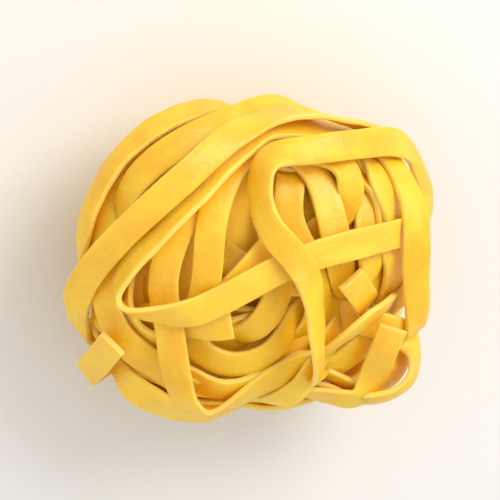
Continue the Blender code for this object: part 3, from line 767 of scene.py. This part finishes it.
def ribbons(name, strands, seed):
    """All the ribbons of one kind as one mesh, with attributes for the dough's tone, its cut edges and
    its depth below the skin, which sets the painted shade.
    """
    draw = np.random.default_rng(seed)
    corners = []
    faces = []
    tones = []
    edges = []
    depths = []
    uvs = []
    offset = 0
    for line in strands:
        spots, edge = ribbon_surface(line["points"], line["width"], draw)
        rows, around = spots.shape[:2]
        quads, ends = closed_faces(rows, around)
        corners.append(spots.reshape(-1, 3))
        faces.extend((quads + offset).tolist())
        faces.extend((end + offset).tolist() for end in ends)
        tones.append(np.full(rows * around, draw.uniform()))
        cut = np.broadcast_to(edge, (rows, around)).copy()
        cut[[0, -1]] = 1.0
        edges.append(cut.ravel())
        # the depth below the skin, which the material turns into painted shade
        depths.append(depth_below_the_skin(spots.reshape(-1, 3)) / MM)
        along = np.arange(rows)[:, None] * ROW_STEP + draw.uniform(0.0, 0.5)
        round_the_outline = np.linspace(0.0, OUTLINE_LENGTH, around)[None, :]
        uvs.append(np.stack(np.broadcast_arrays(along, round_the_outline), -1).reshape(-1, 2))
        offset += rows * around
    mesh = bpy.data.meshes.new(name)
    mesh.from_pydata(np.concatenate(corners).tolist(), [], faces)
    for attribute, values in (("dough_tone", tones), ("cut_edge", edges), ("depth_mm", depths)):
        layer = mesh.attributes.new(attribute, "FLOAT", "POINT")
        layer.data.foreach_set("value", np.concatenate(values).astype(np.float32))
    owners = np.empty(len(mesh.loops), np.int32)
    mesh.loops.foreach_get("vertex_index", owners)
    layer = mesh.uv_layers.new(name="along_the_ribbon")
    layer.data.foreach_set("uv", np.concatenate(uvs)[owners].astype(np.float32).ravel())
    mesh.shade_smooth()
    mesh.set_sharp_from_angle(angle=SHARP_ANGLE)
    mesh.update()
    piece = bpy.data.objects.new(name, mesh)
    bpy.context.scene.collection.objects.link(piece)
    return piece


def on_core(directions):
    """The middle's skin along each direction: the body drawn in by CORE_INSET, less far below."""
    axes = half_axes(directions, 0.0) - CORE_INSET
    axes[..., 2] += np.where(directions[..., 2] < 0.0, CORE_LOWERED, 0.0)
    reach = (np.abs(directions / axes) ** SQUARENESS).sum(-1) ** (-1.0 / SQUARENESS)
    return CENTRE + reach[..., None] * directions


def hidden_core(name):
    """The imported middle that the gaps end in: a sphere's grid drawn out to the middle's skin."""
    around, rows = CORE_AROUND, CORE_ROWS
    turn = np.linspace(0.0, 2.0 * np.pi, around, endpoint=False)
    height = np.linspace(-0.5 * np.pi, 0.5 * np.pi, rows + 1)[1:-1]
    turn, height = np.meshgrid(turn, height)
    level = np.cos(height)
    directions = np.stack([level * np.cos(turn), level * np.sin(turn), np.sin(height)], -1)
    spots = on_core(directions.reshape(-1, 3))
    poles = on_core(np.array([[0.0, 0.0, -1.0], [0.0, 0.0, 1.0]]))
    quads, _ = closed_faces(rows - 1, around)
    bottom, top = len(spots), len(spots) + 1
    here = np.arange(around)
    there = (here + 1) % around
    last = (rows - 2) * around
    caps = [(bottom, b, a) for a, b in zip(here.tolist(), there.tolist())]
    caps += [(top, last + a, last + b) for a, b in zip(here.tolist(), there.tolist())]
    mesh = bpy.data.meshes.new(name)
    mesh.from_pydata(np.vstack([spots, poles]).tolist(), [], quads.tolist() + caps)
    mesh.shade_smooth()
    piece = bpy.data.objects.new(name, mesh)
    bpy.context.scene.collection.objects.link(piece)
    return piece


# Materials

def srgb(colour):
    """A colour given as it looks on screen, 0 to 255, in the linear values that a shader takes."""
    screen = np.array(colour) / 255.0
    linear = np.where(screen <= 0.04045, screen / 12.92, ((screen + 0.055) / 1.055) ** 2.4)
    return (*linear.tolist(), 1.0)


class Wiring:
    """Short calls for a material's nodes and the links between them."""

    def __init__(self, name):
        self.material = bpy.data.materials.new(name)
        self.material.use_nodes = True
        self.tree = self.material.node_tree
        self.shader = self.tree.nodes["Principled BSDF"]

    def node(self, kind, settings=None, **inputs):
        made = self.tree.nodes.new(kind)
        for key, value in (settings or {}).items():
            setattr(made, key, value)
        for key, value in inputs.items():
            socket = made.inputs[int(key[1:])] if key[0] == "_" else made.inputs[key.replace("_", " ")]
            self.feed(socket, value)
        return made

    def feed(self, socket, value):
        if isinstance(value, bpy.types.NodeSocket):
            self.tree.links.new(value, socket)
        else:
            socket.default_value = value

    def noise(self, place, scale, detail=3.0, roughness=0.55):
        return self.node("ShaderNodeTexNoise", Vector=place, Scale=scale, Detail=detail,
                         Roughness=roughness).outputs[0]

    def fade(self, value, low, high, to_low=0.0, to_high=1.0):
        return self.node("ShaderNodeMapRange", {"interpolation_type": "SMOOTHSTEP"}, _0=value, _1=low,
                         _2=high, _3=to_low, _4=to_high).outputs[0]

    def blend(self, share, first, second, how="MIX"):
        made = self.node("ShaderNodeMix", {"data_type": "RGBA", "blend_type": how})
        self.feed(made.inputs[0], share)
        self.feed(made.inputs[6], first)
        self.feed(made.inputs[7], second)
        return made.outputs[2]

    def sums(self, how, first, second):
        return self.node("ShaderNodeMath", {"operation": how}, _0=first, _1=second).outputs[0]


def egg_pasta(name="dry_egg_pasta"):
    """Dried egg dough: warm yellow with painted shade that turns it amber deep in the nest, streaks,
    flour, and pale cut edges that are partly a painted highlight.
    """
    wire = Wiring(name)
    place = wire.node("ShaderNodeTexCoord").outputs["Object"]
    tone = wire.node("ShaderNodeAttribute", {"attribute_name": "dough_tone"}).outputs["Fac"]
    cut = wire.node("ShaderNodeAttribute", {"attribute_name": "cut_edge"}).outputs["Fac"]
    flow = wire.node("ShaderNodeUVMap", {"uv_map": "along_the_ribbon"}).outputs[0]
    drawn = wire.node("ShaderNodeMapping", {}, Vector=flow, Scale=STREAKS).outputs[0]
    clouds = wire.noise(place, CLOUDS, 4.0)
    grain = wire.noise(place, GRAIN, 3.0, 0.65)
    streaks = wire.noise(drawn, 1.0, 3.0)
    deep = wire.node("ShaderNodeAttribute", {"attribute_name": "depth_mm"}).outputs["Fac"]
    colour = wire.blend(wire.fade(clouds, 0.32, 0.68), srgb(DOUGH_DARKER), srgb(DOUGH_LIGHTER))
    colour = wire.blend(wire.sums("MULTIPLY", tone, 0.4), colour, srgb(DOUGH_PALER))
    # painted shade: the deeper a spot lies below the skin, the more it turns to a saturated amber
    colour = wire.blend(wire.fade(deep, SHADE_DEPTH_FROM, SHADE_DEPTH_TO, 0.0, 0.8), colour, srgb(DOUGH_PAINTED_SHADE))
    colour = wire.blend(wire.fade(streaks, 0.45, 0.75, 0.0, 0.2), colour, srgb(STREAK))
    colour = wire.blend(wire.fade(grain, 0.58, 0.76, 0.0, 0.3), colour, srgb(FLOUR))
    # paler edges: partly floury cut dough, partly a painted highlight where the thin edges catch the
    # light
    colour = wire.blend(wire.fade(cut, 0.2, 0.95, 0.0, 0.45), colour, srgb(CUT_EDGE_AND_HIGHLIGHT))
    wire.feed(wire.shader.inputs["Base Color"], colour)
    rough = wire.fade(clouds, 0.3, 0.7, 0.38, 0.52)
    wire.feed(wire.shader.inputs["Roughness"], rough)
    wire.shader.inputs["IOR"].default_value = DOUGH_IOR
    wire.shader.inputs["Subsurface Weight"].default_value = GLOW_SHARE
    wire.shader.inputs["Subsurface Radius"].default_value = GLOW_TINT
    wire.shader.inputs["Subsurface Scale"].default_value = GLOW_DEPTH
    pits = wire.noise(place, PITS, 3.0, 0.6)
    fine = wire.sums("ADD", wire.sums("MULTIPLY", grain, 0.35), wire.sums("MULTIPLY", streaks, 0.5))
    fine = wire.sums("ADD", fine, wire.sums("MULTIPLY", pits, 1.2))
    bump = wire.node("ShaderNodeBump", Height=fine, Distance=PIT_DEPTH, Strength=0.6)
    wire.feed(wire.shader.inputs["Normal"], bump.outputs[0])
    return wire.material


def painted_shade_amber(name="painted_shade_amber"):
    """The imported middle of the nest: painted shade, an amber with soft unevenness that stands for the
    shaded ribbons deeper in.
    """
    wire = Wiring(name)
    place = wire.node("ShaderNodeTexCoord").outputs["Object"]
    clouds = wire.noise(place, MIDDLE_CLOUDS, 3.0)
    # painted shade: an amber that stands in for the shaded ribbons deeper in the nest
    wire.feed(wire.shader.inputs["Base Color"],
              wire.blend(wire.fade(clouds, 0.3, 0.7), srgb(MIDDLE_SHADE_DARKER), srgb(MIDDLE_SHADE_LIGHTER)))
    wire.shader.inputs["Roughness"].default_value = 0.8
    return wire.material


def pale_floor(name="pale_floor"):
    """Plain pale matt floor."""
    wire = Wiring(name)
    wire.shader.inputs["Base Color"].default_value = srgb(FLOOR)
    wire.shader.inputs["Roughness"].default_value = 0.75
    return wire.material


# The pieces

def place_nest():
    """The ribbons that show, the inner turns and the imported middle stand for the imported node."""
    seen = [
        *strands_in_the_opening().values(),
        *belts_over_the_shoulder().values(),
        *belts_round_the_sides(),
    ]
    inner = hidden_turns()
    settled = settle(seen)
    pasta = egg_pasta()
    outer_ribbons = ribbons("ribbons", settled, SEEN_SEED)
    inner_ribbons = ribbons("inner_ribbons", [*settle(inner, settled), foot_coil()], INNER_SEED)
    middle = hidden_core("nest_middle")
    outer_ribbons.data.materials.append(pasta)
    inner_ribbons.data.materials.append(pasta)
    middle.data.materials.append(painted_shade_amber())
    for piece in (outer_ribbons, inner_ribbons, middle):
        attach(piece, "root")
        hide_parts("pasta_nest")


def place_floor():
    """One wide pale sheet under the nest."""
    half = FLOOR_HALF
    corners = [(-half, -half, 0.0), (half, -half, 0.0), (half, half, 0.0), (-half, half, 0.0)]
    mesh = bpy.data.meshes.new("floor")
    mesh.from_pydata(corners, [], [(0, 1, 2, 3)])
    floor = bpy.data.objects.new("floor", mesh)
    bpy.context.scene.collection.objects.link(floor)
    mesh.materials.append(pale_floor())


def axes_matrix(right, up, back, place):
    """A world matrix whose columns are the three directions and the place."""
    matrix = np.eye(4)
    matrix[:3, 0] = right
    matrix[:3, 1] = up
    matrix[:3, 2] = back
    matrix[:3, 3] = place
    return Matrix(matrix.tolist())


def place_camera():
    """A long lens that looks down on the open top from where the photograph was taken."""
    lens = bpy.data.cameras.new("camera")
    lens.lens = LENS
    lens.clip_start = NEAR_CLIP
    camera = bpy.data.objects.new("camera", lens)
    bpy.context.scene.collection.objects.link(camera)
    aim = CENTRE + AIM_SHIFT * UPWARD
    camera.matrix_world = axes_matrix(RIGHT, UPWARD, TOWARD, aim + CAMERA_DISTANCE * TOWARD)
    bpy.context.scene.camera = camera


def place_light(name, towards, distance, size, watts, tint):
    """A soft square lamp that faces the nest from a direction given in the picture's own axes."""
    right, up, toward = towards
    back = unit(right * RIGHT + up * UPWARD + toward * TOWARD)
    right = unit(np.cross(np.array([0.0, 0.0, 1.0]), back))
    lamp = bpy.data.lights.new(name, "AREA")
    lamp.size = size
    lamp.energy = watts
    lamp.color = tint
    holder = bpy.data.objects.new(name, lamp)
    bpy.context.scene.collection.objects.link(holder)
    holder.matrix_world = axes_matrix(right, np.cross(back, right), back, CENTRE + distance * back)


def light_the_stage():
    """A large soft key from the upper right of the picture, a weak fill, and an even pale surround."""
    world = bpy.data.worlds.new("studio")
    world.use_nodes = True
    surround = world.node_tree.nodes["Background"]
    surround.inputs["Color"].default_value = SURROUND_TINT
    surround.inputs["Strength"].default_value = SURROUND_STRENGTH
    bpy.context.scene.world = world
    place_light("key", KEY_FROM, KEY_DISTANCE, KEY_SIZE, KEY_WATTS, KEY_TINT)
    place_light("fill", FILL_FROM, FILL_DISTANCE, FILL_SIZE, FILL_WATTS, FILL_TINT)
    bpy.context.scene.view_settings.view_transform = "Standard"


place_nest()
place_floor()
place_camera()
light_the_stage()
